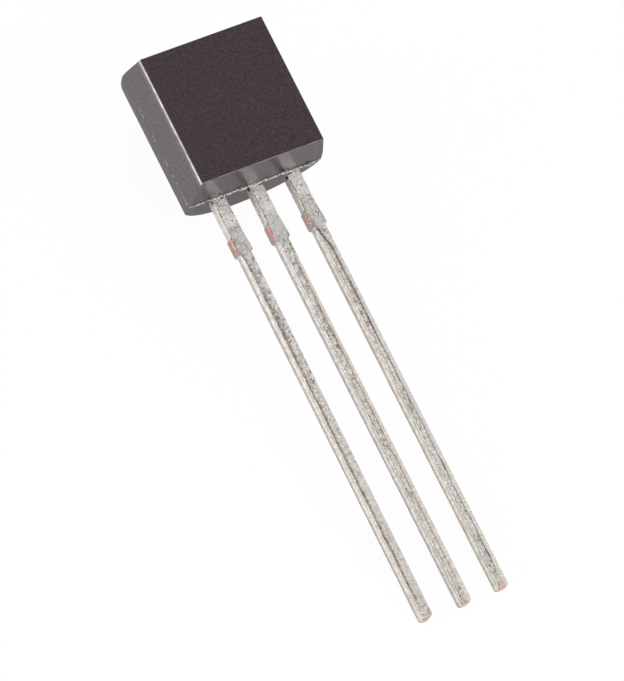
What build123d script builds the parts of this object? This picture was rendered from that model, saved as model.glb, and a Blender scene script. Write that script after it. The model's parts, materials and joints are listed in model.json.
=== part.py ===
from build123d import *
import os
from math import asin, atan2, cos, hypot, radians, sin, tan

# A small-signal transistor in the three-lead TO-92 package, in millimetres and degrees.
# It lies at rest with its flat up, on the foot edge of its round back and on its three lead tips.
# +X is to the right as one looks at the flat, the leads run towards -Y, and the origin is on the
# surface below, in the middle of the part's length and width.

# moulded body
body_width = 4.58  # across the round back
body_height = 4.58  # foot to head, along the parting line
flat_rise = 1.32  # parting line to flat
side_draft = 11.2
foot_draft = 7.0
head_draft = 6.0
body_edge_radius = 0.07

# stamped leads
lead_pitch = 1.27
lead_length = 14.33  # foot of the body to the tips
lead_thickness = 0.40
lead_width = 0.37  # below the dambar stubs
lead_edge_radius = 0.07
root_width = 0.45  # between body and stubs
root_length = 1.36
stub_width = 0.53  # what is left of the dambar that joined the leads
stub_length = 0.58
stub_ramp = 0.06
tip_spread = 0.03  # outward drift of the outer tips

# lead ends, die and wires inside the body
bond_height = 2.0  # foot to the line of the die and the bond posts
paddle_width = 1.30
paddle_height = 1.60
post_height = 0.80
post_gap = 0.30  # paddle to post
post_wall = 0.50  # moulding left outside each post
notch_foot = 0.45  # foot of the body to the locking notches
notch_height = 0.25
notch_depth = 0.08
die_width = 0.50
die_thickness = 0.20
pad_spacing = 0.24  # between the two bond pads on the die
ball_diameter = 0.10
ball_height = 0.03
wire_diameter = 0.05
wire_loop = 0.45  # rise of the wire above the die
wire_bend = 0.12

# The tilt is that of a line that touches the edge radius of the back and the tips from below.
body_radius = body_width / 2
back_foot = body_radius * tan(radians(foot_draft)) + body_edge_radius / tan(radians(45 + foot_draft / 2))
back_head = body_height - body_radius * tan(radians(head_draft))
back_head -= body_edge_radius / tan(radians(45 + head_draft / 2))
back_depth = body_radius - body_edge_radius
reach = lead_length + back_foot
drop = back_depth - lead_thickness
tilt = atan2(drop, reach) + asin(body_edge_radius / hypot(reach, drop))

# The resting place puts the middle of the whole length over the origin and the tips on the surface.
tip_end = -lead_length * cos(tilt)
head_end = max(
    body_height * cos(tilt),
    back_head * cos(tilt) + back_depth * sin(tilt) + body_edge_radius,
)
rest_y = -(tip_end + head_end) / 2
rest_z = lead_length * sin(tilt) + lead_thickness * cos(tilt)

# parting: x across, y from foot to head, z out of the flat, on the plane where the mould halves meet
parting = Plane((0, rest_y, rest_z), x_dir=(1, 0, 0), z_dir=(0, -sin(tilt), cos(tilt)))
foot = Plane(parting.origin, x_dir=parting.x_dir, z_dir=parting.y_dir)
side = Plane(parting.origin, x_dir=parting.y_dir, z_dir=parting.x_dir)
bond_origin = parting.from_local_coords(Vector(0, bond_height, 0))
bond_line = Plane(bond_origin, x_dir=parting.x_dir, z_dir=-parting.y_dir)

post_inner = paddle_width / 2 + post_gap
post_outer = body_radius - post_wall
post_middle = (post_inner + post_outer) / 2
stub_foot = -root_length - stub_length
os.makedirs("parts", exist_ok=True)

# the three leads: a plate with the stub and its end inside the body, and a shank with rounded edges
lead_rows = (
    ("left", -lead_pitch, -post_outer, -post_inner, post_height, -tip_spread),
    ("middle", 0, -paddle_width / 2, paddle_width / 2, paddle_height, 0),
    ("right", lead_pitch, post_inner, post_outer, post_height, tip_spread),
)
leads = []
for name, middle, end_left, end_right, end_height, drift in lead_rows:
    root_left = middle - root_width / 2
    root_right = middle + root_width / 2
    with BuildPart() as lead:
        with BuildSketch(parting):
            with BuildLine():
                Polyline(
                    (root_left, bond_height),
                    (root_left, -root_length),
                    (middle - stub_width / 2, -root_length - stub_ramp),
                    (middle - stub_width / 2, stub_foot + stub_ramp),
                    (middle - lead_width / 2, stub_foot),
                    (middle + lead_width / 2, stub_foot),
                    (middle + stub_width / 2, stub_foot + stub_ramp),
                    (middle + stub_width / 2, -root_length - stub_ramp),
                    (root_right, -root_length),
                    (root_right, bond_height),
                    close=True,
                )
            make_face()
            with Locations(((end_left + end_right) / 2, bond_height)):
                Rectangle(end_right - end_left, end_height)
            with Locations((root_left, notch_foot), (root_right, notch_foot)):
                Rectangle(
                    notch_depth * 2, notch_height, align=(Align.CENTER, Align.MIN), mode=Mode.SUBTRACT
                )
        extrude(amount=-lead_thickness)
        for height, x in ((stub_foot, middle), (-lead_length, middle + drift)):
            with BuildSketch(foot.offset(height)):
                with Locations((x, lead_thickness / 2)):
                    RectangleRounded(lead_width, lead_thickness, lead_edge_radius)
        loft(ruled=True)
    lead.part.label = f"{name}_lead"
    export_step(lead.part, f"parts/{name}_lead.step")
    leads.append(lead.part)

# the die, on the face of the paddle
with BuildPart() as die:
    with BuildSketch(parting):
        with Locations((0, bond_height)):
            Rectangle(die_width, die_width)
    extrude(amount=die_thickness)
die.part.label = "die"
export_step(die.part, "parts/die.step")

# the bond wires, each from a ball on the die down to the middle of a post, and cut off flush there
loop_top = die_thickness + wire_loop
run_share = 1 + wire_diameter / loop_top
wires = []
for name, hand in (("left", -1), ("right", 1)):
    pad_x = hand * pad_spacing / 2
    end_x = pad_x + (hand * post_middle - pad_x) * run_share
    with BuildPart() as wire:
        with BuildLine(bond_line):
            FilletPolyline(
                (pad_x, die_thickness), (pad_x, loop_top), (end_x, -wire_diameter), radius=wire_bend
            )
        with BuildSketch(parting.offset(die_thickness)):
            with Locations((pad_x, bond_height)):
                Circle(wire_diameter / 2)
        sweep()
        split(bisect_by=parting, keep=Keep.TOP)
        with BuildSketch(parting.offset(die_thickness)):
            with Locations((pad_x, bond_height)):
                Circle(ball_diameter / 2)
        extrude(amount=ball_height)
    wire.part.label = f"{name}_bond_wire"
    export_step(wire.part, f"parts/{name}_bond_wire.step")
    wires.append(wire.part)

# the moulded body: a D-shaped bar with drafted ends, moulded around what is inside
touch_x = body_radius * cos(radians(side_draft))
touch_y = -body_radius * sin(radians(side_draft))
flat_half = touch_x - (flat_rise + touch_y) * tan(radians(side_draft))
flat_foot = flat_rise * tan(radians(foot_draft))
flat_head = body_height - flat_rise * tan(radians(head_draft))
with BuildPart() as body:
    with BuildSketch(foot):
        with BuildLine():
            Line((-flat_half, -flat_rise), (flat_half, -flat_rise))
            Line((flat_half, -flat_rise), (touch_x, touch_y))
            ThreePointArc((touch_x, touch_y), (0, body_radius), (-touch_x, touch_y))
            Line((-touch_x, touch_y), (-flat_half, -flat_rise))
        make_face()
    extrude(amount=body_height)
    with BuildSketch(side):
        with BuildLine():
            Polyline(
                (0, 0),
                (flat_foot, flat_rise),
                (flat_head, flat_rise),
                (body_height, 0),
                (body_height - body_radius * tan(radians(head_draft)), -body_radius),
                (body_radius * tan(radians(foot_draft)), -body_radius),
                close=True,
            )
        make_face()
    extrude(amount=body_width, both=True, mode=Mode.INTERSECT)
    # every edge is rounded but the parting line and the seams where the sides run into the back
    flat = body.faces().sort_by(Axis(parting.origin, parting.z_dir))[-1]
    end_arcs = body.edges().filter_by(GeomType.ELLIPSE)
    lines = body.edges().filter_by(GeomType.LINE)
    corners = lines.filter_by(Axis.X, reverse=True).filter_by(Axis(foot.origin, foot.z_dir), reverse=True)
    fillet(flat.edges() + end_arcs + corners, body_edge_radius)
    add(leads + [die.part] + wires, mode=Mode.SUBTRACT)
body.part.label = "body"
export_step(body.part, "parts/body.step")
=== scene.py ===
# %% [markdown]
# # A three-lead transistor on a white table
# A small transistor is a silicon die on a stamped copper frame, moulded into a block of black epoxy.
# Its CAD model already has every solid in place. Here the solids get the fine shapes and the finishes
# of the real thing: crisp mould edges, a parting fin, plated leads with cut stubs and copper tips.
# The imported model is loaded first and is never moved, so that all later pieces share its frame.

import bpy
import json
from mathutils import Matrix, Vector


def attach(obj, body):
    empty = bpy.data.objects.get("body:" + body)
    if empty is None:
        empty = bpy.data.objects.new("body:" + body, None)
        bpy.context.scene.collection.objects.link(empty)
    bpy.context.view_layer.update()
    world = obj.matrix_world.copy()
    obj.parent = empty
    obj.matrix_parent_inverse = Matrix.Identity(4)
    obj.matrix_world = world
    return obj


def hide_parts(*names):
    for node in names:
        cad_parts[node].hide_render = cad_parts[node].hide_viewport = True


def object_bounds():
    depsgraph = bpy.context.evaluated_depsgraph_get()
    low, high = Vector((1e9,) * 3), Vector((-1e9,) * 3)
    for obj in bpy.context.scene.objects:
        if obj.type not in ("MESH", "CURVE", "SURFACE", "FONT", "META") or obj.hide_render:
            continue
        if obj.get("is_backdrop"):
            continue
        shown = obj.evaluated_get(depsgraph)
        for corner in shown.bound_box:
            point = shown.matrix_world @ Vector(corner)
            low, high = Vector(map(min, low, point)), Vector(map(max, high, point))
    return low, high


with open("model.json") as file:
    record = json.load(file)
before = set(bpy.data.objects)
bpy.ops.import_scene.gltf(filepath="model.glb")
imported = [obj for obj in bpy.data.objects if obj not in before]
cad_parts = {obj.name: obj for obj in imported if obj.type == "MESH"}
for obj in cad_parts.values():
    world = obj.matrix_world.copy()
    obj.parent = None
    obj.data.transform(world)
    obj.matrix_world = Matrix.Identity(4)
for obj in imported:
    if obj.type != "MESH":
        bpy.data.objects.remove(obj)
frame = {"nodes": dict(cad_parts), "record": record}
cad_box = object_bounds()
print("CAD nodes:", ", ".join(sorted(frame["nodes"])))

# %% [markdown]
# ## The part's own axes
# The part lies tilted, on the foot edge of its round back and on its lead tips. Working in tilted
# coordinates would be hard to read, so every shape below is written in the part's own axes, in
# millimetres: u across the flat, v from the foot to the head, w out of the flat. The record's two
# mounts give these axes, so nothing has to be measured on the model.

# %% Axes from the record
import math
from types import SimpleNamespace

import bpy
import numpy as np
from mathutils import Matrix, Vector

MM = 0.001
lead_thickness = 0.40
mounts = {mount["name"]: mount for mount in frame["record"]["mounts"]}
across_flat = np.array([1.0, 0.0, 0.0])
to_head = -np.array(mounts["leads"]["axis"])
out_of_flat = np.array(mounts["flat"]["axis"])
parting_origin = np.array(mounts["leads"]["pos_m"]) + out_of_flat * lead_thickness / 2 * MM
tilt = math.atan2(to_head[2], to_head[1])


def place(u, v, w):
    """Points in metres: the origin on the parting line plus u, v and w millimetres along the axes."""
    u, v, w = np.broadcast_arrays(u, v, w)
    steps = u[..., None] * across_flat + v[..., None] * to_head + w[..., None] * out_of_flat
    return parting_origin + MM * steps


print(f"the part leans {math.degrees(tilt):.2f} degrees")

# %% [markdown]
# ## One way to make every mesh
# Each piece is a grid of points, rows by columns. A face joins four neighbours, and the last column
# meets the first, so a row is always a closed loop. The end rows close on a point, as at the poles
# of a globe, unless the last row meets the first in a ring. Blender could turn the faces outwards
# afterwards, but the sign of the enclosed volume already tells which way they point.

# %% From a grid of points to faces


def signed_volume(points, triangles):
    """Sum over the triangles of a . (b x c) / 6, which is positive when they face outwards."""
    a, b, c = (points[triangles[:, k]] for k in range(3))
    return float(np.sum(a * np.cross(b, c)) / 6)


def grid_faces(grid, ring):
    """Points, four-sided faces and end triangles of a grid, all facing outwards.

    A face joins a point with its neighbours one column on, one row on and both. With ring the last
    row meets the first, and otherwise each end row closes on the mean of its points."""
    rows, columns = grid.shape[:2]
    index = np.arange(rows * columns).reshape(rows, columns)
    beside = np.roll(index, -1, axis=1)
    quads = np.stack([index, beside, np.roll(beside, -1, axis=0), np.roll(index, -1, axis=0)], axis=-1)
    points = grid.reshape(-1, 3)
    fans = np.empty((0, 3), int)
    if not ring:
        quads = quads[:-1]
        points = np.concatenate([points, grid[[0, -1]].mean(axis=1)])
        first = np.full(columns, rows * columns)
        fans = np.concatenate([
            np.stack([first, beside[0], index[0]], axis=-1),
            np.stack([first + 1, index[-1], beside[-1]], axis=-1),
        ])
    quads = quads.reshape(-1, 4)
    triangles = np.concatenate([quads[:, [0, 1, 2]], quads[:, [0, 2, 3]], fans])
    if signed_volume(points - points.mean(axis=0), triangles) < 0:
        quads, fans = quads[:, ::-1], fans[:, ::-1]
    return points, quads, fans


square = np.array([(0, 0, 0), (0, 1, 0), (1, 1, 0), (1, 0, 0)])
cube_points, cube_quads, cube_fans = grid_faces(np.stack([square, square + (0, 0, 1)]), ring=False)
print(f"a cube: {len(cube_points)} points, {len(cube_quads)} sides, {len(cube_fans)} end triangles")

# %% From faces to a piece


def make_piece(name, grids, replaces=None, ring=False, marks=None):
    """One smooth mesh of closed grids that rides on the part. Marks are numbers kept per point."""
    points, faces = [], []
    start = 0
    for grid in grids:
        grid_points, quads, fans = grid_faces(grid, ring)
        points.append(grid_points)
        faces += (quads + start).tolist() + (fans + start).tolist()
        start += len(grid_points)
    points = np.concatenate(points)
    mesh = bpy.data.meshes.new(name)
    mesh.from_pydata(points.tolist(), [], faces)
    mesh.polygons.foreach_set("use_smooth", np.ones(len(faces), bool))
    for mark, values in (marks or {}).items():
        values = np.concatenate([values.ravel(), values[[0, -1]].mean(axis=1)])
        mesh.attributes.new(mark, "FLOAT", "POINT").data.foreach_set("value", values.astype(np.float32))
    piece = bpy.data.objects.new(name, mesh)
    bpy.context.scene.collection.objects.link(piece)
    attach(piece, "root")
    if replaces:
        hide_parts(replaces)
    size = np.ptp(points, axis=0) / MM
    print(f"{name}: {len(faces)} faces, {size[0]:.2f} x {size[1]:.2f} x {size[2]:.2f} mm")
    return piece


# %% [markdown]
# ## The moulded body
# The body is a D-shaped bar: a flat, two sides that lean inwards by the draft that lets it out of the
# mould, and a round back. Its ends slope away from the parting line by a few degrees for the same
# reason. It could be a bevelled CAD solid, but a surface that is worked out gives soft edges with no
# facets: the outline of the D is carried from the middle of the foot to the middle of the head.

# %% The D-shaped outline
body_radius = 2.29
flat_rise = 1.312  # parting line to flat
left_round = 0.02  # radius of the flat's left edge, which is the crisper one
right_round = 0.03
side_draft = math.radians(11.2)


def side_run(radius):
    """Centres (u, w) of an edge round on its way from the flat's corner down the side to the back.

    Each is the corner plus a share of the way. The shares are even steps to the power of 1.6, which
    keeps the points close together next to the flat, where a narrow strip of the side carries a painted
    highlight."""
    inner = body_radius - radius
    corner_w = flat_rise - radius
    corner_u = (inner - corner_w * math.sin(side_draft)) / math.cos(side_draft)
    way = np.linspace(0, 1, 18)[:-1] ** 1.6
    return (
        corner_u + (inner * math.cos(side_draft) - corner_u) * way,
        corner_w + (inner * math.sin(side_draft) - corner_w) * way,
    )


def d_outline():
    """Outline points and normals (u, w, nu, nw): everywhere a centre plus a radius times the normal.

    The flat and the sides slide the centre of the small edge round, the corners turn about it, and
    the back turns about the middle of the body."""
    right_u, right_w = side_run(right_round)
    left_u, left_w = side_run(left_round)
    turn = np.linspace(math.pi / 2, side_draft, 14)
    flat_way = np.linspace(0, 1, 141)[:-1]
    runs = [
        (-left_u[0] + (left_u[0] + right_u[0]) * flat_way, flat_rise, 0, math.pi / 2),
        (right_u[0], right_w[0], right_round, turn),
        (right_u[1:], right_w[1:], right_round, side_draft),
        (0, 0, body_radius, np.linspace(side_draft, -math.pi - side_draft, 261)),
        (-left_u[:0:-1], left_w[:0:-1], left_round, math.pi - side_draft),
        (-left_u[0], left_w[0], left_round, math.pi - turn[:0:-1]),
    ]
    joined = [np.concatenate(column) for column in zip(*(np.broadcast_arrays(*run) for run in runs))]
    middle_u, middle_w, radius, angle = joined
    nu, nw = np.cos(angle), np.sin(angle)
    return middle_u + radius * nu, middle_w + radius * nw, nu, nw


outline_u, outline_w, outline_nu, outline_nw = d_outline()
flat_width = np.ptp(outline_u[outline_nw > 0.999])
print(f"outline of {len(outline_u)} points, flat {flat_width:.2f} mm wide")

# %% From the middle of an end to the wall
back_edge = 0.075  # radius of the edges round the back
soft_length = 1.0  # an end's edge goes from crisp to soft over this much of w
parting_step = 0.015  # the mould halves meet a hair inside the sides, which leaves room for the fin
parting_fade = 0.3  # the sides are out again about this far from the parting line
cap_middle = -0.5  # the rows of an end spread from this w
round_steps = 10


def ramp(values, start, end):
    """0 before start, 1 after end and the eased step 3t^2 - 2t^3 between them."""
    t = np.clip((values - start) / (end - start), 0, 1)
    return t * t * (3 - 2 * t)


def end_rows(draft, cap_shares, front_edge, soft_from):
    """Rows (u, v, w) of one end, from its middle out to the wall, with v measured in from the end.

    The end rises by the tangent of the draft times the distance from the parting line. Where it meets
    the wall, a round touches both. Its radius is front_edge, and from soft_from behind the parting
    line it grows to back_edge. Inside the round, the rows shrink towards the middle."""
    radius = front_edge + (back_edge - front_edge) * ramp(-outline_w, soft_from, soft_from + soft_length)
    slope = math.tan(draft) * np.sign(outline_w) * outline_nw
    centre_v = math.tan(draft) * np.abs(outline_w) + radius * (np.sqrt(1 + slope**2) - slope)
    turn = np.linspace(1, 0, round_steps)[:, None] * np.arctan2(1, slope)
    inset = radius * (np.cos(turn) - 1) - parting_step * np.exp(-((outline_w / parting_fade) ** 2))
    edge_u = outline_u + outline_nu * inset
    edge_w = outline_w + outline_nw * inset
    edge_v = centre_v - radius * np.sin(turn)
    cap_u = edge_u[0] * cap_shares[:, None]
    cap_w = cap_middle + (edge_w[0] - cap_middle) * cap_shares[:, None]
    cap_v = math.tan(draft) * np.abs(cap_w)
    return np.concatenate([
        np.stack([cap_u, cap_v, cap_w], axis=-1),
        np.stack([edge_u, edge_v, edge_w], axis=-1),
    ])


foot_draft = math.radians(7.0)
foot_shares = np.linspace(0.01, 1, 90)[:-1]
foot_rows = end_rows(foot_draft, foot_shares, front_edge=0.02, soft_from=0.7)
print(f"{len(foot_rows)} rows from the middle of the foot to the wall")

# %% From foot to head
body_height = 4.58
head_draft = math.radians(6.0)
head_shares = np.linspace(0.03, 1, 40)[:-1]
head_rows = end_rows(head_draft, head_shares, front_edge=0.015, soft_from=0.0)[::-1]
head_rows[..., 1] = body_height - head_rows[..., 1]
climb = np.linspace(0, 1, 26)[1:-1, None, None]
wall_rows = foot_rows[-1] + (head_rows[0] - foot_rows[-1]) * climb
body_rows = np.concatenate([foot_rows, wall_rows, head_rows])
print(f"{len(body_rows)} rows from foot to head")

# %% [markdown]
# ## Matt walls with a painted lit grey, and painted edge highlights
# The mould is polished where it forms the flat and the front of both ends, and spark-eroded where it
# forms the sides, the round back and the rear of the ends, so those come out matt. Their lighter grey
# is painted light, a lit copy of the black compound. A pale strip a tenth of a millimetre wide, right
# below the flat on the left side, and a faint line on the foot edge are painted highlights of the edge
# rounds. These could be pieces with materials of their own, but it is one skin: two numbers on each
# point, matt_and_lit and edge_highlight, say how much of each is there, and the material reads them.

# %% How matt each point is, which also sets its painted lit grey
foot_rim = np.concatenate([np.zeros(len(foot_shares)), np.linspace(0, 1, round_steps)])
head_rim = np.concatenate([np.linspace(1, 0, round_steps), np.zeros(len(head_shares))])
on_wall = np.concatenate([foot_rim, np.ones(len(wall_rows)), head_rim])[:, None]
to_rim = np.concatenate([foot_shares, np.ones(len(wall_rows) + 2 * round_steps), head_shares[::-1]])
near_wall = np.maximum(on_wall, ramp(to_rim[:, None], 0.88, 1.0))
faces_aside = ramp(-outline_nw, -0.45, -0.22)
behind_parting = ramp(-body_rows[..., 2], 0.0, 0.03)
# matt_and_lit: the matt finish, which also brings the painted lit grey of the walls
matt_and_lit = np.maximum(near_wall * faces_aside, behind_parting)
print(f"{np.mean(matt_and_lit > 0.5):.0%} of the body's points are matt")

# %% The painted edge highlights, and the body
# painted highlights: a pale strip on the left side right below the flat, fainter beside it, and a line
# along the foot edge
foot_edge_highlight_level = 0.3
faint_highlight_level = 0.13
below_flat = flat_rise - outline_w
strip = np.maximum(ramp(-below_flat, -0.13, -0.09), faint_highlight_level * ramp(-below_flat, -0.27, -0.12))
long_edge = (outline_nu < 0) * strip * ramp(below_flat, 0.02, 0.045)
foot_edge = np.concatenate([4 * foot_rim * (1 - foot_rim), np.zeros(len(wall_rows) + len(head_rows))])
foot_edge = foot_edge_highlight_level * foot_edge[:, None] * (outline_nw > 0.2)
edge_highlight = np.maximum(long_edge * on_wall, foot_edge)
body = make_piece(
    "moulded_body",
    [place(*np.moveaxis(body_rows, -1, 0))],
    replaces="body",
    marks={"matt_and_lit": matt_and_lit, "edge_highlight": edge_highlight},
)

# %% [markdown]
# ## The parting fin
# Where the two mould halves meet, a film of resin creeps between them and stays on the body as a
# thin, broken, pale fin. It runs round the whole body on the parting line. On the foot it is
# thickest, because there the leads hold the mould halves apart. The fin is a thin tube with an
# uneven oval section on a rounded rectangle; a texture could only paint a line.

# %% Uneven heights
lattice = 256  # the pattern repeats after this many steps, far more than a piece needs


def uneven(a, b, spacing, seed):
    """Random levels from 0 to 1 on a square lattice, joined by eased steps 3t^2 - 2t^3 both ways."""
    levels = np.random.default_rng(seed).random((lattice, lattice))
    low_a, low_b = np.floor(a / spacing).astype(int), np.floor(b / spacing).astype(int)
    part_a, part_b = a / spacing - low_a, b / spacing - low_b
    ease_a, ease_b = part_a**2 * (3 - 2 * part_a), part_b**2 * (3 - 2 * part_b)
    here, next_a = low_a % lattice, (low_a + 1) % lattice
    near, far = (
        levels[here, line % lattice] * (1 - ease_a) + levels[next_a, line % lattice] * ease_a
        for line in (low_b, low_b + 1)
    )
    return near * (1 - ease_b) + far * ease_b


sample = uneven(np.linspace(0, 20, 400), np.zeros(400), 0.5, seed=1)
print(f"a sample of uneven heights: {sample.min():.2f} to {sample.max():.2f}, mean {sample.mean():.2f}")

# %% The fin's path


def rounded_loop(side_steps, end_steps, corner_steps):
    """A rectangle with round corners, as an inner rectangle plus a radius times the outward normal.

    Returns for each point its share of the half width and half height, then its normal."""
    runs = []
    for quarter in range(4):
        along = np.linspace(-1, 1, (side_steps, end_steps)[quarter % 2])
        turn = np.linspace(0, math.pi / 2, corner_steps)[1:-1]
        share_a = np.concatenate([np.ones(len(along)), np.ones(len(turn))])
        share_b = np.concatenate([along, np.ones(len(turn))])
        angle = np.concatenate([np.zeros(len(along)), turn])
        c, s = round(math.cos(quarter * math.pi / 2)), round(math.sin(quarter * math.pi / 2))
        angle += quarter * math.pi / 2
        runs.append((c * share_a - s * share_b, s * share_a + c * share_b, np.cos(angle), np.sin(angle)))
    return [np.concatenate(column) for column in zip(*runs)]


sunk = 0.004  # below this height the fin hides in the body
fin_corner = 0.03
fin_half_width = body_radius - parting_step - sunk
fin_half_height = body_height / 2 - sunk
fin_u, fin_v, fin_nu, fin_nv = rounded_loop(side_steps=300, end_steps=420, corner_steps=12)
path_u = fin_u * (fin_half_width - fin_corner) + fin_corner * fin_nu
path_v = body_height / 2 + fin_v * (fin_half_height - fin_corner) + fin_corner * fin_nv
print(f"the fin's path: {len(path_u)} points, {np.ptp(path_u):.2f} x {np.ptp(path_v):.2f} mm")

# %% How high the fin is
lattice_start = 40  # any fixed place on the lattice will do
coarse, fine, crumbs = (
    uneven(path_u + lattice_start, path_v + lattice_start, spacing, seed)
    for spacing, seed in ((0.45, 3), (0.13, 4), (0.05, 5))
)
foot_height = (0.014 + 0.08 * fine * coarse + 0.03 * crumbs) * ramp(coarse + 0.5 * fine, 0.08, 0.3)
hump = np.exp(-(((path_u - 1.75) / 0.25) ** 2))  # it is highest to the right of the right lead
foot_height = foot_height + 0.04 * hump * (0.4 + fine)
foot_height = foot_height * (0.15 + 0.85 * ramp(fin_half_width - np.abs(path_u), 0.0, 0.25))
# On the sides most of the fin has broken off. What is left runs from one v to the other in each pair.
dashes = np.array([(-0.1, 0.9), (0.98, 1.20), (1.39, 1.75), (2.25, 2.54), (3.06, 3.53)])
dash_end = 0.04
dash_height = 0.011
least_height = 0.002  # a closed tube needs some height, and this much stays hidden in the body
in_dash = ramp(path_v[:, None], dashes[:, 0], dashes[:, 0] + dash_end)
in_dash = in_dash * ramp(-path_v[:, None], -dashes[:, 1], dash_end - dashes[:, 1])
side_height = dash_height * in_dash.max(axis=1) * ramp(crumbs + 0.3 * fine, 0.2, 0.6)
on_foot = ramp(-fin_nv, 0.5, 0.9)
fin_height = np.maximum(side_height + (foot_height - side_height) * on_foot, least_height)
print(f"the fin stands up to {fin_height.max() - sunk:.3f} mm out of the body")

# %% The fin itself
fin_thickness = 0.007 + 0.004 * fine + (0.004 + 0.02 * fine * coarse) * on_foot
fin_waver = 0.04 * (crumbs - 0.5) * on_foot
section = np.linspace(0, 2 * math.pi, 15)[:-1]
out = fin_height[:, None] * np.cos(section)
fin = make_piece(
    "parting_fin",
    [place(
        path_u[:, None] + fin_nu[:, None] * out,
        path_v[:, None] + fin_nv[:, None] * out,
        fin_waver[:, None] + fin_thickness[:, None] * np.sin(section),
    )],
    ring=True,
)

# %% [markdown]
# ## Black beads at the roots
# Where the leads leave the body, small black beads of the body's epoxy sit beside them and across
# their fronts. A sphere would look too neat: each bead is a small uneven ball pressed flat against the
# lead, a globe of latitude and longitude whose radius wavers.

# %% Black beads at the roots
bead_table = (
    # u, v, w, then half the size along each
    (-1.49, -0.10, -0.08, 0.025, 0.055, 0.045),
    (-0.22, -0.07, -0.13, 0.035, 0.065, 0.065),
    (1.05, -0.16, -0.12, 0.035, 0.070, 0.070),
    (-1.17, -0.075, 0.00, 0.055, 0.025, 0.015),
    (0.16, -0.085, 0.00, 0.060, 0.016, 0.012),
    (1.13, -0.085, 0.00, 0.100, 0.022, 0.012),
)
first_bead_seed = 60
bead_lattice = 9  # any fixed place on the lattice will do


def bead_grid(row, seed):
    """A globe (cos a cos b, cos a sin b, sin a) times its half sizes, with an uneven radius."""
    middle, half = np.array(row[:3]), np.array(row[3:])
    latitude = np.linspace(-math.pi / 2, math.pi / 2, 14)[1:-1, None]
    longitude = np.linspace(0, 2 * math.pi, 29)[:-1]
    globe = np.stack(np.broadcast_arrays(
        np.cos(latitude) * np.cos(longitude), np.cos(latitude) * np.sin(longitude), np.sin(latitude)
    ), axis=-1)
    lattice_a = globe[..., 0] + globe[..., 2] + bead_lattice
    waver = 0.75 + 0.5 * uneven(lattice_a, globe[..., 1] + bead_lattice, 0.6, seed)
    spots = middle + half * globe * waver[..., None]
    return place(*np.moveaxis(spots, -1, 0))


bead_grids = [bead_grid(row, first_bead_seed + k) for k, row in enumerate(bead_table)]
beads = make_piece("root_beads", bead_grids)

# %% [markdown]
# ## The leads
# The leads are stamped from copper strip as one comb and tin plated. A bar, the dambar, joins them
# until the body is moulded, and is then cut away: each cut leaves a wider stub with bare sheared
# faces. The tips are cut last, so their ends are bare copper too. A bevelled box would be too clean.
# Each lead is one rounded rectangle carried along v, with a width, a corner radius and small dents
# that change on the way, and no two leads are quite alike.

# %% What differs from lead to lead
# middle, end and end_span place the lead in u, and the sides and the ends of its plate inside the
# body. drift is how far the tip strays in u, length runs from the body to the tip, and tip has the
# rounds of the tip's two corners, all in mm. crease is where the crease runs across the front, from
# -1 to 1: at the stub, above and below. Its width is in half widths of the lead, and depth says how
# dark its painted shade is. pressed says how much more one side of the crease is mottled, the left one
# where it is negative. calm is how far that fades towards the tip, and shade how much painted shade
# darkens the sides at the root.
lead_table = {
    "left": dict(
        middle=-1.27, end=(-1.79, -0.95), end_span=(1.6, 2.4), drift=-0.06, length=14.33,
        tip=(0.12, 0.12), seed=11, crease=(-0.9, -0.48, -0.50), crease_width=0.2, depth=0.85,
        pressed=0.3, calm=0.35, shade=0.0,
    ),
    "middle": dict(
        middle=0.0, end=(-0.65, 0.65), end_span=(1.2, 2.8), drift=0.0, length=14.33,
        tip=(0.09, 0.10), seed=12, crease=(0.9, 0.36, 0.22), crease_width=0.085, depth=0.85,
        pressed=-0.9, calm=0.1, shade=0.6,
    ),
    "right": dict(
        middle=1.27, end=(0.95, 1.79), end_span=(1.6, 2.4), drift=0.01, length=14.295,
        tip=(0.08, 0.08), seed=13, crease=(-0.6, 0.17, 0.22), crease_width=0.095, depth=1.25,
        pressed=-0.9, calm=0.1, shade=0.8,
    ),
}
print(", ".join(f"{name} lead {row['length']} mm long" for name, row in lead_table.items()))

# %% The width of a lead
lead_length = 14.33
shank_half = 0.185
root_half = 0.225
stub_half = 0.265
stub_foot = -1.94
stub_ramp = 0.06
notch_half = root_half - 0.08
notch_foot = 0.45
notch_head = 0.70
hair = 0.01  # a sudden step in the width takes this much of v


def side_line(v, stub_head, end_half, end_span):
    """Half width of a lead on one side at each v: shank, stub, root, locking notch, inner end.

    Straight lines join the stops. Between the two stub_head levels the stub narrows to the root."""
    stops = [
        (-lead_length, shank_half), (stub_foot, shank_half), (stub_foot + stub_ramp, stub_half),
        (stub_head[0], stub_half), (stub_head[1], root_half), (notch_foot - hair, root_half),
        (notch_foot, notch_half), (notch_head, notch_half), (notch_head + hair, root_half),
        (end_span[0] - hair, root_half), (end_span[0], end_half), (end_span[1], end_half),
    ]
    return np.interp(v, *zip(*stops))


def tip_round(from_tip, radius):
    """How far a round of that radius pulls a side in near the tip: r - sqrt(r^2 - (r - depth)^2)."""
    depth = np.clip(from_tip, 0, radius)
    return radius - np.sqrt(radius**2 - (radius - depth) ** 2)


print(f"a lead is {2 * root_half} mm wide at the root, {2 * stub_half} at the stub, then {2 * shank_half}")

# %% The rows of a lead


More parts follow.
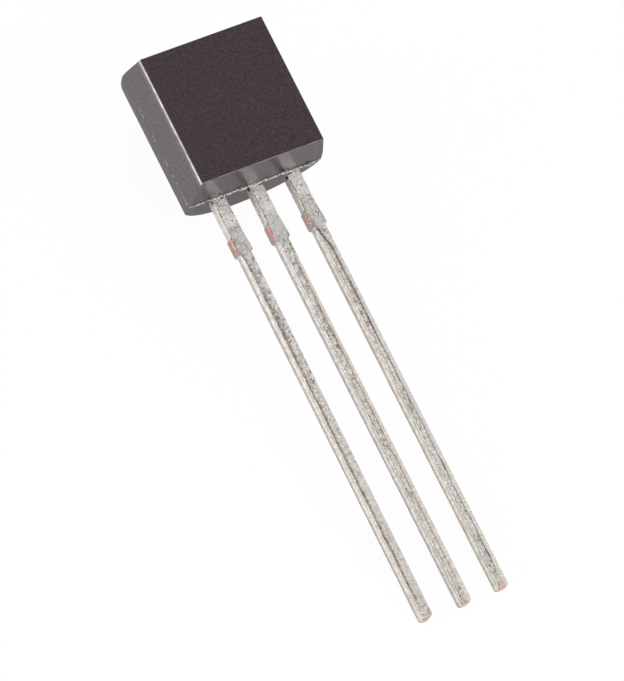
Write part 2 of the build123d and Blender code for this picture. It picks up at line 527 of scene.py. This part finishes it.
def lead_levels(row):
    """Levels v of a lead's rows, from the tip to the inner end.

    They are closest at the tip, in squares of even steps, then at the stub and at every step in width."""
    inner_foot, inner_head = row["end_span"]
    return np.unique(np.concatenate([
        -row["length"] + 0.16 * np.linspace(0, 1, 18) ** 2,
        np.arange(-row["length"] + 0.2, stub_foot - 0.1, 0.04),
        np.arange(stub_foot - 0.1, 0.1, 0.02),
        np.linspace(0.1, notch_foot - hair, 4),
        np.array([notch_foot, notch_head, notch_head + hair]),
        np.linspace(0.8, inner_foot - hair, 4),
        np.linspace(inner_foot, inner_head, 6),
    ]).round(6))


print(", ".join(f"{name} lead {len(lead_levels(row))} rows" for name, row in lead_table.items()))

# %% A plain lead
cut_slope = (-1.36, -1.30)  # the stub's left side was cut off short
long_slope = (-1.72, -1.20)  # its right side runs out slowly into the root
front_tip_round = 0.035
corner_radius = 0.03
roll_reach = 0.24  # how far back from the front the punch rolled the left side over
roll_inset = 0.05


def plain_lead(row):
    """A lead with no dents: shares of an inner rectangle plus the corner radius times the normal.

    The rows before the first level and after the last one shrink, and close the ends. The left side
    leans in towards the front by the square of the way there, as a punched edge does."""
    levels = lead_levels(row)
    shares = np.array([0.2, 0.5, 0.8, 0.95])
    shrink = np.concatenate([shares, np.ones(len(levels)), shares[::-1]])[:, None]
    v = np.concatenate([np.full(4, levels[0]), levels, np.full(4, levels[-1])])[:, None]
    from_tip = v + row["length"]
    middle = row["middle"] + row["drift"] * np.clip((v - stub_foot) / (-lead_length - stub_foot), 0, 1)
    left = side_line(v, cut_slope, row["middle"] - row["end"][0], row["end_span"])
    right = side_line(v, long_slope, row["end"][1] - row["middle"], row["end_span"])
    left = left - tip_round(from_tip, row["tip"][0])
    right = right - tip_round(from_tip, row["tip"][1])
    half = (left + right) / 2
    half_w = lead_thickness / 2 - tip_round(from_tip, front_tip_round)
    softness = 0.7 + 0.6 * uneven(v, 0 * v, 0.25, row["seed"] + 30)
    corner = np.minimum(corner_radius * softness, half_w * 0.9)
    share_u, share_w, nu, nw = rounded_loop(side_steps=20, end_steps=36, corner_steps=10)
    u = middle + (right - left) / 2 + shrink * (share_u * (half - corner) + corner * nu)
    w = -lead_thickness / 2 + shrink * (share_w * (half_w - corner) + corner * nw)
    on_shank = ramp(-v, -stub_foot - 0.02, -stub_foot + 0.25)
    rolled = np.clip(w / roll_reach + 1, 0, 1) ** 2 * np.clip(-share_u, 0, 1) ** 8
    u = u + roll_inset * on_shank * rolled * ramp(from_tip, 0.0, 0.15)
    front = np.clip(nw, 0, 1) ** 2 * np.ones_like(u)
    return SimpleNamespace(
        u=u, v=v, w=w, nu=nu, nw=nw, from_tip=from_tip, on_shank=on_shank, front=front,
        cross=(u - middle) / half,
    )


plain = plain_lead(lead_table["middle"])
print(f"a lead is a grid of {plain.u.shape[0]} rows by {plain.u.shape[1]} columns")

# %% [markdown]
# ## What pressing and shearing left on the leads
# The press flattened the front of each lead and left a crease along it, broad and soft above,
# narrow and crisp below, with more mottling on one side of it; the crease's dark is painted shade. On
# the sides the punch first rubbed a strip and then tore the rest: the rubbed strip carries a painted
# highlight, and the torn rest painted shade, darker towards the back edge and at the roots of the
# middle and right leads. The light shows real dents best, so the lead is dented there as well. So
# every mark below is a number from 0 to about 1 at each point: some of them dent the lead, and the
# tin's material reads them all to know what to show where.

# %% The pressed front and its crease


def along_lead(lead, spacing, seed):
    """Uneven heights that change only along the lead."""
    return uneven(lead.v, 0 * lead.v, spacing, seed)


def crease_line(row, lead):
    """Where the crease runs across the front: a straight line from above to below, which starts at
    the stub's own place and wanders by up to 0.08 to both sides."""
    at_stub, above, below = row["crease"]
    line = above + (below - above) * np.clip((-lead.v - 3) / 11, 0, 1)
    wander = 0.16 * (along_lead(lead, 0.4, row["seed"]) - 0.5)
    return line + (at_stub - line) * (1 - ramp(-lead.v, 1.9, 2.8)) + wander


def crease_mark(row, lead, line):
    """exp(-(distance from the line / width)^2) times an uneven depth, or the same at the left edge."""
    lower = ramp(-lead.v, 4.0, 6.5)
    width = row["crease_width"] * (2.3 - 1.3 * lower)
    depth = row["depth"] * (0.75 + 0.25 * lower) * ramp(-lead.v, 1.2, 2.2)
    patches = 0.7 + 0.6 * along_lead(lead, 0.6, row["seed"] + 20) - 0.1 * ramp(-lead.v, 6.0, 9.0)
    crease = np.exp(-(((lead.cross - line) / width) ** 2)) * patches * depth
    # the front-left edge gets a thin line of painted shade too
    edge_line = np.exp(-(((lead.cross + 0.92) / 0.1) ** 2)) * ramp(-lead.v, 0.2, 0.4)
    edge_line = edge_line * (0.35 + 0.5 * along_lead(lead, 0.3, row["seed"] + 21))
    return np.maximum(crease * ramp(lead.from_tip, 0.2, 1.2), edge_line) * ramp(lead.nw, 0.1, 0.6)


def pressed_mark(row, lead, line):
    """How mottled the front is: evenly at the root, and below it more on one side of the crease."""
    one_sided = abs(row["pressed"]) * ramp(-lead.v, 2.2, 3.2)
    mottled_side = ramp(np.sign(row["pressed"]) * (lead.cross - line), -0.1, 0.15)
    pressed = lead.front * (1 - one_sided + one_sided * mottled_side)
    return pressed * (1 - row["calm"] * ramp(-lead.v, 6.0, 10.0))


middle_line = crease_line(lead_table["middle"], plain)
print(f"the middle lead's crease wanders from {middle_line.min():.2f} to {middle_line.max():.2f}")

# %% The sheared sides


def burnish_highlight_mark(lead, seed):
    """exp(-(distance from the middle of the strip with the painted highlight / its width)^2) on the sides,
    none in front.
    """
    middle_w = -0.135 - 0.03 * ramp(-lead.v, 5.0, 9.0) + 0.04 * (along_lead(lead, 0.35, seed + 42) - 0.5)
    middle_w = middle_w + 0.065 * (1 - lead.on_shank)
    width = 0.035 + 0.03 * lead.on_shank
    return np.exp(-(((lead.w - middle_w) / width) ** 2)) * lead.nu**4


strip_share = np.mean(burnish_highlight_mark(plain, lead_table["middle"]["seed"]) > 0.5)
print(f"the bright strip takes {strip_share:.0%} of the middle lead's points")

# %% The dents
lattice_u, lattice_v = 9, 30  # any fixed place on the lattice will do
front_depth = 0.004
swell_depth = 0.006
edge_rise = 0.004
crease_depth = 0.006
strip_depth = 0.006
wave_depth = 0.018


def swells(across, lead, spacings, seeds):
    """Coarse uneven heights plus 0.6 of fine ones, less their mean."""
    coarse_swell, fine_swell = (
        uneven(across, lead.v + lattice_v, spacing, seed) for spacing, seed in zip(spacings, seeds)
    )
    return coarse_swell + 0.6 * fine_swell - 0.8


def dents(lead, seed, crease, burnish_highlight, plate_edge):
    """How far each point goes in: swells in front, the crease, the plate's edge and a wavy bright strip."""
    swell = swells(lead.u + lattice_u, lead, (0.22, 0.10), (seed + 40, seed + 50))
    wave = swells(lattice_u - lead.w, lead, (0.25, 0.12), (seed + 41, seed + 51))
    edge_step = np.exp(-((plate_edge / 0.02) ** 2)) * lead.front
    dent = lead.front * (front_depth + swell_depth * swell - edge_rise * edge_step) + crease_depth * crease
    dent = dent + burnish_highlight * (strip_depth + wave_depth * wave * lead.on_shank)
    return dent * (lead.v < 0) * ramp(lead.from_tip, 0.0, 0.1)


plain_swell = swells(plain.u + lattice_u, plain, (0.22, 0.10), (1, 2))
print(f"swells run from {plain_swell.min():.2f} to {plain_swell.max():.2f} before they are scaled")

# %% Leads with their dents and marks
stub_top = -1.35
plate_edge_v = -0.98  # the bright plate of the root ends in a ragged line here


def lead_grid(row):
    """Points of a lead, moved in along their normals by the dents, and what finish each point has."""
    lead = plain_lead(row)
    seed = row["seed"]
    line = crease_line(row, lead)
    crease = crease_mark(row, lead, line)
    pressed = pressed_mark(row, lead, line)
    burnish_highlight = burnish_highlight_mark(lead, seed)
    ragged = uneven(lead.u + lattice_u, lead.v + lattice_v, 0.13, seed + 80) - 0.5
    plate_edge = lead.v - plate_edge_v - 0.05 * lead.cross**2 + 0.16 * ragged
    dent = dents(lead, seed, crease, burnish_highlight, plate_edge)
    u = lead.u - lead.nu * dent
    w = lead.w - lead.nw * dent

    v = lead.v
    # painted shade: the sides outside the highlight strip, darker towards the back edge
    torn_shade = (1 - burnish_highlight) * (1 - lead.front) * (0.55 + 0.45 * ramp(-w, 0.22, 0.38))
    on_stub = ramp(v, stub_foot - 0.01, stub_foot + 0.05) * ramp(-v, -stub_top - 0.02, -stub_top + 0.02)
    cut = on_stub * ramp(np.abs(lead.nu) * np.ones_like(u), 0.6, 0.95)
    torn_edge = 0.07 * (along_lead(lead, 0.07, seed + 70) - 0.5)
    stripe = ramp(w, -0.15 + torn_edge, -0.12 + torn_edge) * ramp(v, stub_foot + 0.04, stub_foot + 0.12)
    return place(u, v, w), {
        "face": pressed,
        "crease": crease,
        # the highlight strip fades towards the tips
        "burnish_highlight": burnish_highlight * (1 - 0.4 * ramp(-v, 11.0, 13.5)),
        # painted shade at the roots, as much as the lead's shade says
        "torn_shade": torn_shade * (row["shade"] + (1 - row["shade"]) * lead.on_shank),
        "cut": cut,
        "copper": cut * stripe,
        "tip": ramp(-lead.from_tip, -0.04, -0.02) * ramp(w, -0.21, -0.14),
        "root": ramp(plate_edge, -0.07, 0.07),
        # bar: greyer where the dambar was, and greyer towards the tips
        "bar": ramp(-plate_edge, -0.07, 0.07) * ramp(v, -2.2, -1.95) + 0.9 * ramp(-v, 12.2, 13.6),
    }


leads = {}
for name, row in lead_table.items():
    grid, marks = lead_grid(row)
    leads[name] = make_piece(
        f"{name}_lead_plated", [grid], replaces=f"{name}_lead", marks=marks
    )

# %% [markdown]
# ## One helper for all materials
# A material is a small network of nodes. One function adds a node, sets its options, and for each
# named socket either sets a value or makes a link. Colours are written as a maker would write them,
# as sRGB hex values, and turned into the linear light that Blender works in.

# %% Colour and node helpers


def linear(code):
    """An sRGB hex colour as linear RGBA: c / 12.92 when dark, else ((c + 0.055) / 1.055) ^ 2.4."""
    srgb = np.array([int(code[k:k + 2], 16) for k in (1, 3, 5)]) / 255
    light = np.where(srgb <= 0.04045, srgb / 12.92, ((srgb + 0.055) / 1.055) ** 2.4)
    return (*light.tolist(), 1.0)


def add(tree, kind, sockets=None, **options):
    """Adds a shader node with these options, and fills its sockets.

    A value is set. A socket is linked, and so is the first output in use of a node."""
    made = tree.nodes.new("ShaderNode" + kind)
    for option, value in options.items():
        setattr(made, option, value)
    for socket, value in (sockets or {}).items():
        if isinstance(value, bpy.types.Node):
            value = next(output for output in value.outputs if output.enabled)
        if isinstance(value, bpy.types.NodeSocket):
            tree.links.new(value, made.inputs[socket])
        else:
            made.inputs[socket].default_value = value
    return made


def start_material(name):
    """A new empty material, its node tree, and the part's own axes as coordinates in metres."""
    material = bpy.data.materials.new(name)
    material.use_nodes = True
    tree = material.node_tree
    tree.nodes.clear()
    coords = add(tree, "TexCoord").outputs["Object"]
    axes = add(tree, "Mapping", {"Vector": coords, "Rotation": (-tilt, 0, 0)}, vector_type="POINT")
    return material, tree, axes


def per_metre(size_mm):
    """The texture scale at which one feature is about that many millimetres wide."""
    return 1 / (size_mm * MM)


# sockets of a Mix node, whose share is socket 0: its two colours, or its two numbers
MIX_A, MIX_B = 6, 7
NUMBER_A, NUMBER_B = 2, 3
print("mid grey #808080 is", round(linear("#808080")[0], 3), "in linear light")

# %% [markdown]
# ## Moulding compound
# The body is epoxy filled with fine fused-silica grains and a little carbon black. Against polished
# steel it comes out satin: nearly black straight on, with a trace of plum, and grey where it mirrors
# the white table and the leads at a low angle. Spark-eroded steel leaves it matt; the lighter grey
# there is painted light, a lit copy of the same black. The grains give a faint mottling in warm and
# cool blacks. They are about 0.03 mm, finer than a pixel, so they are drawn coarser, as grains of
# 0.04 mm and flecks of 0.08 mm. A picture could hold all this too, but noise in the part's own axes
# has no seams and costs no memory.

# %% The compound's polished colour, and its matt colour in a painted lit grey
compound, tree, axes = start_material("moulded_epoxy")
matt_and_lit_share = add(tree, "Attribute", attribute_name="matt_and_lit").outputs["Fac"]
grain = add(tree, "TexNoise", {"Vector": axes, "Scale": per_metre(0.04), "Detail": 2.0, "Roughness": 0.6})
fleck = add(tree, "TexNoise", {"Vector": axes, "Scale": per_metre(0.08), "Detail": 3.0, "Roughness": 0.8})
speck = add(tree, "MapRange", {
    "Value": grain, "From Min": 0.35, "From Max": 0.65, "To Min": 0.3, "To Max": 1.7,
})
pocked = add(tree, "MapRange", {"Value": grain, "From Min": 0.35, "From Max": 0.65})
polished = add(tree, "Gamma", {"Color": fleck.outputs["Color"], "Gamma": 2.1})
for blend_type, colour in (
    ("MULTIPLY", linear("#464655")),
    ("ADD", linear("#200000")),
    ("MULTIPLY", speck),
):
    polished = add(tree, "Mix", {
        0: 1.0, MIX_A: polished, MIX_B: colour,
    }, data_type="RGBA", blend_type=blend_type)
# the matt colour is painted light: a lighter, lit copy of the black compound, mottled by the grain
eroded_lit_grey = add(tree, "Mix", {
    0: pocked, MIX_A: linear("#534E4F"), MIX_B: linear("#6E6768"),
}, data_type="RGBA")
eroded_lit_grey = add(tree, "Mix", {
    0: 0.6, MIX_A: eroded_lit_grey, MIX_B: fleck.outputs["Color"],
}, data_type="RGBA", blend_type="OVERLAY")
skin = add(tree, "Mix", {0: matt_and_lit_share, MIX_A: polished, MIX_B: eroded_lit_grey}, data_type="RGBA")
print(f"{compound.name}: {len(tree.nodes)} nodes for the skin")

# %% The compound's seam, painted edge highlights and gloss
height = add(tree, "SeparateXYZ", {0: axes}).outputs["Z"]
from_seam = add(tree, "Math", {0: height, 1: float(parting_origin @ out_of_flat)}, operation="SUBTRACT")
from_seam = add(tree, "Math", {0: from_seam}, operation="ABSOLUTE")
# painted shade: a dark hairline on the parting line stands in for the shade of the groove where the fin has
# broken off
seam_shade = add(tree, "MapRange", {
    "Value": from_seam, "From Min": 0.008 * MM, "From Max": 0.025 * MM, "To Min": 0.6, "To Max": 0.0,
})
# painted highlight: the pale edge strips, broken up in patches
highlit_edge = add(tree, "Attribute", attribute_name="edge_highlight").outputs["Fac"]
highlight_gaps = add(tree, "TexNoise", {"Vector": axes, "Scale": per_metre(0.25), "Detail": 3.0})
broken_highlight = add(tree, "MapRange", {"Value": highlight_gaps, "From Min": 0.3, "From Max": 0.6, "To Min": 0.35})
highlit_edge = add(tree, "Math", {0: highlit_edge, 1: broken_highlight}, operation="MULTIPLY")
for amount, colour in ((seam_shade, "#2E2A2B"), (highlit_edge, "#EBE8E8")):
    skin = add(tree, "Mix", {0: amount, MIX_A: skin, MIX_B: linear(colour)}, data_type="RGBA")
satin = add(tree, "MapRange", {"Value": matt_and_lit_share, "To Min": 0.225, "To Max": 0.75})
pores = add(tree, "Bump", {"Height": grain, "Strength": 0.3, "Distance": 0.01 * MM})
shader = add(tree, "BsdfPrincipled", {"Base Color": skin, "Roughness": satin, "IOR": 1.5, "Normal": pores})
add(tree, "OutputMaterial", {"Surface": shader})
for piece in (body, beads):
    piece.data.materials.append(compound)
print(f"{compound.name}: {len(tree.nodes)} nodes on the body and the beads")

# %% [markdown]
# ## Thin resin
# The fin is the same epoxy, but so thin and cracked that it scatters the light and looks pale, with
# grey where it is whole; its palest bits are also painted highlights of its edges catching the light.
# With the body's own material it would hardly show. Crumbs of 0.08 mm break up its colour and its
# surface.

# %% The fin's thin resin
thin_resin, tree, axes = start_material("thin_resin_fin")
break_up = add(tree, "TexNoise", {"Vector": axes, "Scale": per_metre(0.08), "Detail": 2.0})
cracked = add(tree, "MapRange", {"Value": break_up, "From Min": 0.38, "From Max": 0.62})
# pale as thin resin, and in part a painted highlight of the fin's edges
pale_and_highlit = add(tree, "Mix", {
    0: cracked, MIX_A: linear("#6C6567"), MIX_B: linear("#E4DDDD"),
}, data_type="RGBA")
rough = add(tree, "Bump", {"Height": break_up, "Strength": 0.4, "Distance": 0.01 * MM})
shader = add(tree, "BsdfPrincipled", {"Base Color": pale_and_highlit, "Roughness": 0.55, "IOR": 1.5, "Normal": rough})
add(tree, "OutputMaterial", {"Surface": shader})
fin.data.materials.append(thin_resin)
print(f"{thin_resin.name}: {len(tree.nodes)} nodes")

# %% [markdown]
# ## Tin plate over copper
# Matt tin is a pale, slightly warm metal. On pressed strip it shows spots and worm-like dark pits
# where the plate is thin. It is brighter on the root, smoother and greyer where the dambar was, and
# greyer towards the tips. Along the sides runs the strip that the punch burnished, with a painted
# highlight, between torn bands in painted shade. The sheared stubs are smeared grey-brown with one
# copper stripe where the blade first cut, with pale spots of painted highlight, and the tips are
# copper too. One even metal would look like polished steel, so the leads carry these places as marks,
# and the nodes add the fine patterns at their real size in millimetres.

# %% The tin's patterns
tinned, tree, axes = start_material("tin_plated_copper")
mark = {}
for name in marks:  # every lead carries the same ones
    mark[name] = add(tree, "Attribute", attribute_name=name).outputs["Fac"]
drawn_out = add(tree, "Mapping", {"Vector": axes, "Scale": (1.3, 0.6, 1.3)}, vector_type="POINT")
crosswise = add(tree, "Mapping", {"Vector": axes, "Scale": (0.7, 1.0, 0.7)}, vector_type="POINT")
spots = add(tree, "TexNoise", {"Vector": axes, "Scale": per_metre(0.085), "Detail": 3.0, "Roughness": 0.65})
chatter = add(tree, "TexNoise", {
    "Vector": crosswise, "Scale": per_metre(0.14), "Detail": 4.0, "Roughness": 0.75,
})
worms = add(tree, "TexNoise", {
    "Vector": drawn_out, "Scale": per_metre(0.16), "Detail": 1.5, "Distortion": 0.6,
})
clouds = add(tree, "TexNoise", {"Vector": axes, "Scale": per_metre(0.45), "Detail": 3.0})
spot = add(tree, "MapRange", {"Value": spots, "From Min": 0.34, "From Max": 0.66})
stroke = add(tree, "MapRange", {"Value": chatter, "From Min": 0.4, "From Max": 0.62})
print(f"{tinned.name}: {len(mark)} marks and 4 patterns")

# %% The tin's dark pits
# the worms follow the lines where their noise is half way up, in patches, and are fewer on the root
off_line = add(tree, "Math", {0: worms, 1: 0.5}, operation="SUBTRACT")
off_line = add(tree, "Math", {0: off_line}, operation="ABSOLUTE")
worm = add(tree, "MapRange", {"Value": off_line, "From Min": 0.05, "From Max": 0.0})
patchy = add(tree, "MapRange", {"Value": clouds, "From Min": 0.35, "From Max": 0.65})
fewer = add(tree, "MapRange", {"Value": mark["root"], "To Min": 1.0, "To Max": 0.6})
patchy = add(tree, "Math", {0: patchy, 1: fewer}, operation="MULTIPLY")
worm = add(tree, "Math", {0: worm, 1: patchy}, operation="MULTIPLY")
pit = add(tree, "MapRange", {"Value": spots, "From Min": 0.6, "From Max": 0.66})
pit = add(tree, "Math", {0: pit, 1: mark["root"]}, operation="MULTIPLY")
dark = add(tree, "Math", {0: pit, 1: worm}, operation="MAXIMUM")
dark = add(tree, "Math", {0: dark, 1: mark["face"]}, operation="MULTIPLY")
print(f"{tinned.name}: {len(tree.nodes)} nodes with the pits")

# %% The tin's front and sides
bright_root = add(tree, "Math", {0: mark["root"], 1: 0.65}, operation="MULTIPLY")
# painted highlight: the burnished strip, streaked, mixed towards near white
gleam = add(tree, "MapRange", {"Value": stroke, "To Min": 0.35, "To Max": 1.0})
gleam = add(tree, "Math", {0: gleam, 1: mark["burnish_highlight"]}, operation="MULTIPLY")
# sheared is the sides' tin; fracture_shade is a darker copy of it, painted shade for the torn bands
mottled, sheared, fracture_shade = (
    add(tree, "Mix", {0: pattern, MIX_A: linear(low), MIX_B: linear(high)}, data_type="RGBA")
    for pattern, low, high in (
        (spot, "#B5ADA8", "#FCF8F0"),
        (stroke, "#CDC6BC", "#EFEBE3"),
        (stroke, "#ABA399", "#BFB8AE"),
    )
)
mottled = add(tree, "Mix", {0: bright_root, MIX_A: mottled, MIX_B: linear("#F8F5EE")}, data_type="RGBA")
sheared = add(tree, "Mix", {0: mark["torn_shade"], MIX_A: sheared, MIX_B: fracture_shade}, data_type="RGBA")
sheared = add(tree, "Mix", {0: gleam, MIX_A: sheared, MIX_B: linear("#FFFFFC")}, data_type="RGBA")
plate = add(tree, "Mix", {0: mark["face"], MIX_A: sheared, MIX_B: mottled}, data_type="RGBA")
print(f"{tinned.name}: {len(tree.nodes)} nodes with front and sides")

# %% The tin's blush, creases and copper
blush = add(tree, "MapRange", {"Value": worms, "From Min": 0.55, "From Max": 0.75, "To Max": 0.2})
# greyer where the dambar was and towards the tips
bar_and_tip_grey = add(tree, "Math", {0: mark["bar"], 1: mark["face"]}, operation="MULTIPLY")
bar_and_tip_grey = add(tree, "Math", {0: bar_and_tip_grey, 1: 0.5}, operation="MULTIPLY")
broken = add(tree, "MapRange", {
    "Value": spots, "From Min": 0.35, "From Max": 0.65, "To Min": 1.0, "To Max": 0.55,
})
# painted shade: the dark of the crease and of the front-left edge line, broken up by the spots
crease = add(tree, "Math", {0: mark["crease"], 1: broken}, operation="MULTIPLY")
# copper, whose pale spots are painted highlights
copper_with_highlights = add(tree, "Mix", {
    0: spot, MIX_A: linear("#CC503C"), MIX_B: linear("#FFC4B0"),
}, data_type="RGBA")
for amount, colour in (
    (blush, linear("#E6C3B4")),
    (bar_and_tip_grey, linear("#C6C3C0")),
    (dark, linear("#463C3E")),
    (crease, linear("#58464E")),
    (mark["cut"], linear("#A99F97")),
    (mark["copper"], copper_with_highlights),
    (mark["tip"], linear("#C79683")),
):
    plate = add(tree, "Mix", {0: amount, MIX_A: plate, MIX_B: colour}, data_type="RGBA")
print(f"{tinned.name}: {len(tree.nodes)} nodes with all colours")

# %% The tin's gloss and relief
grit = add(tree, "Mix", {0: mark["face"], NUMBER_A: stroke, NUMBER_B: spot})
dull = add(tree, "MapRange", {"Value": grit, "To Min": 0.46, "To Max": 0.26})
relief = add(tree, "Math", {0: grit, 1: dark}, operation="SUBTRACT")
pitted = add(tree, "Bump", {"Height": relief, "Strength": 0.5, "Distance": 0.012 * MM})
shader = add(tree, "BsdfPrincipled", {
    "Base Color": plate, "Roughness": dull, "Metallic": 1.0, "Normal": pitted,
})
add(tree, "OutputMaterial", {"Surface": shader})
for plated_lead in leads.values():
    plated_lead.data.materials.append(tinned)
print(f"{tinned.name}: {len(tree.nodes)} nodes on {len(leads)} leads")

# %% [markdown]
# ## What is inside
# The die and its two gold wires are buried in the epoxy. They keep their CAD shapes and only get
# their own finishes, so that a cut-away view shows grey silicon and yellow gold. A saw and a drawing
# die leave marks on them that are finer than a pixel, so these are drawn coarser, as grain of 0.04 mm.

# %% Silicon and gold
for finish, low, high, metallic, roughness, node_names in (
    ("diced_silicon", "#3C4046", "#565B63", 0.6, 0.2, ("die",)),
    ("drawn_gold", "#D9A84A", "#F0C96B", 1.0, 0.25, ("left_bond_wire", "right_bond_wire")),
):
    material, tree, axes = start_material(finish)
    worked = add(tree, "TexNoise", {"Vector": axes, "Scale": per_metre(0.04), "Detail": 2.0})
    tone = add(tree, "Mix", {0: worked, MIX_A: linear(low), MIX_B: linear(high)}, data_type="RGBA")
    lines = add(tree, "Bump", {"Height": worked, "Strength": 0.1, "Distance": 0.002 * MM})
    shader = add(tree, "BsdfPrincipled", {
        "Base Color": tone, "Roughness": roughness, "Metallic": metallic, "Normal": lines,
    })
    add(tree, "OutputMaterial", {"Surface": shader})
    for node_name in node_names:
        node = frame["nodes"][node_name]
        node.data.materials.clear()
        node.data.materials.append(material)
    print(finish, "on", ", ".join(node_names))

# %% [markdown]
# ## The table
# The part lies on a plain white table that bounces light on to its sides. A single large sheet of
# card is enough, and faint clouds in its pulp keep it from being a flat colour. The camera sees it
# mostly as pure white, with a trace of the real card left for the shadow, and what the metal mirrors
# is half and half. Only those rays are lifted: the light that falls from the card on to the part
# stays that of the card.

# %% A white table
half_table = 0.4
seen_white = 0.95
mirrored_white = 0.5
table_mesh = bpy.data.meshes.new("table")
corners = np.array([(-1, -1, 0), (1, -1, 0), (1, 1, 0), (-1, 1, 0)]) * half_table
table_mesh.from_pydata(corners.tolist(), [], [(0, 1, 2, 3)])
table = bpy.data.objects.new("table", table_mesh)
bpy.context.scene.collection.objects.link(table)
table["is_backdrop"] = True
paper, tree, axes = start_material("white_card")
pulp = add(tree, "TexNoise", {"Vector": axes, "Scale": per_metre(20.0), "Detail": 2.0})
tone = add(tree, "Mix", {0: pulp, MIX_A: linear("#F8F8F8"), MIX_B: linear("#FAFAFA")}, data_type="RGBA")
card = add(tree, "BsdfDiffuse", {"Color": tone})
white = add(tree, "Emission", {"Color": (1, 1, 1, 1), "Strength": 1.0})
rays = add(tree, "LightPath").outputs
seen = add(tree, "Math", {0: rays["Is Camera Ray"], 1: rays["Is Transmission Ray"]}, operation="MAXIMUM")
seen = add(tree, "Math", {0: seen, 1: seen_white}, operation="MULTIPLY")
lifted = add(tree, "Math", {
    0: rays["Is Glossy Ray"], 1: mirrored_white, 2: seen,
}, operation="MULTIPLY_ADD")
surface = add(tree, "MixShader", {0: lifted, 1: card, 2: white})
add(tree, "OutputMaterial", {"Surface": surface})
table_mesh.materials.append(paper)
print(f"table {2 * half_table} m wide")

# %% [markdown]
# ## Soft light
# A white room lights the part from all around, with a darker ceiling: that is what the black flat
# mirrors, and what keeps it black. One lamp stands low on the left and lights the left sides of the
# body and the leads, and a larger one from the front and above lifts the leads. An even room alone
# would leave the metal flat.

# %% The room
world = bpy.data.worlds.new("white_room")
bpy.context.scene.world = world
world.use_nodes = True
tree = world.node_tree
tree.nodes.clear()
direction = add(tree, "SeparateXYZ", {0: add(tree, "TexCoord").outputs["Generated"]})
ceiling = add(tree, "MapRange", {
    "Value": direction.outputs["Z"], "From Min": 0.3, "From Max": 0.9, "To Min": 0.95, "To Max": 0.75,
}, interpolation_type="SMOOTHSTEP")
room = add(tree, "Background", {"Color": (1, 1, 1, 1), "Strength": ceiling})
add(tree, "OutputWorld", {"Surface": room})
print(f"{world.name}: {len(tree.nodes)} nodes")

# %% The lamps


def aim(spot, target):
    """The turn that points an object's -Z axis from a spot to a target."""
    return (Vector(target) - Vector(spot)).to_track_quat("-Z", "Y").to_euler()


def add_lamp(name, azimuth, elevation, distance, width, height, radiance):
    """A rectangular lamp of even brightness: its power is radiance times pi times its area."""
    a, e = math.radians(azimuth), math.radians(elevation)
    spot = distance * np.array([math.cos(e) * math.sin(a), -math.cos(e) * math.cos(a), math.sin(e)])
    lamp = bpy.data.lights.new(name, "AREA")
    lamp.shape = "RECTANGLE"
    lamp.size = width
    lamp.size_y = height
    lamp.energy = radiance * math.pi * width * height
    holder = bpy.data.objects.new(name, lamp)
    holder.location = spot
    holder.rotation_euler = aim(spot, (0, 0, 0))
    bpy.context.scene.collection.objects.link(holder)
    print(f"{name}: {lamp.energy:.2f} W")


add_lamp("left_lamp", azimuth=-102, elevation=14, distance=0.30, width=0.10, height=0.12, radiance=4.5)
add_lamp("front_lamp", azimuth=34, elevation=48, distance=0.35, width=0.20, height=0.16, radiance=3.6)

# %% [markdown]
# ## The camera
# The picture was taken from the left and above with a long lens, and turned so that the leads run
# down to the right. A constraint could track the part, but a turn written out in full is exact: the
# camera looks at one point of the part from a given direction and distance, and rolls about its own
# axis.

# %% The camera
camera_azimuth = math.radians(-46.418)
camera_elevation = math.radians(58.318)
camera_roll = math.radians(21.115)
camera_distance = 247.945 * MM
camera_target = Vector((-0.8459, -0.5139, 2.0)) * MM
back = Vector((
    math.cos(camera_elevation) * math.sin(camera_azimuth),
    -math.cos(camera_elevation) * math.cos(camera_azimuth),
    math.sin(camera_elevation),
))
level = Vector((0, 0, 1)).cross(back).normalized()
right = level * math.cos(camera_roll) + back.cross(level) * math.sin(camera_roll)
up = back.cross(right)
camera_data = bpy.data.cameras.new("camera")
camera_data.sensor_width = 36.0
camera_data.lens = 442.958
camera_data.clip_start = 0.01
camera_data.clip_end = 10.0
camera = bpy.data.objects.new("camera", camera_data)
facing = Matrix((right, up, back)).transposed().to_4x4()
camera.matrix_world = Matrix.Translation(camera_target + back * camera_distance) @ facing
bpy.context.scene.collection.objects.link(camera)
bpy.context.scene.camera = camera
bpy.context.scene.view_settings.view_transform = "Standard"
print(f"camera {camera_distance / MM:.0f} mm away")

# %% [markdown]
# ## Keeping the size
# Fine shapes must not change the part's size, so the box of the CAD model and the box of the finished
# pieces are printed side by side.

# %% Print the two boxes
import json

boxes = {"cad": cad_box, "visual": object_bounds()}
for key, box in boxes.items():
    size = np.subtract(box[1], box[0]) / MM
    print(f"{key} box: {size[0]:.3f} x {size[1]:.3f} x {size[2]:.3f} mm")
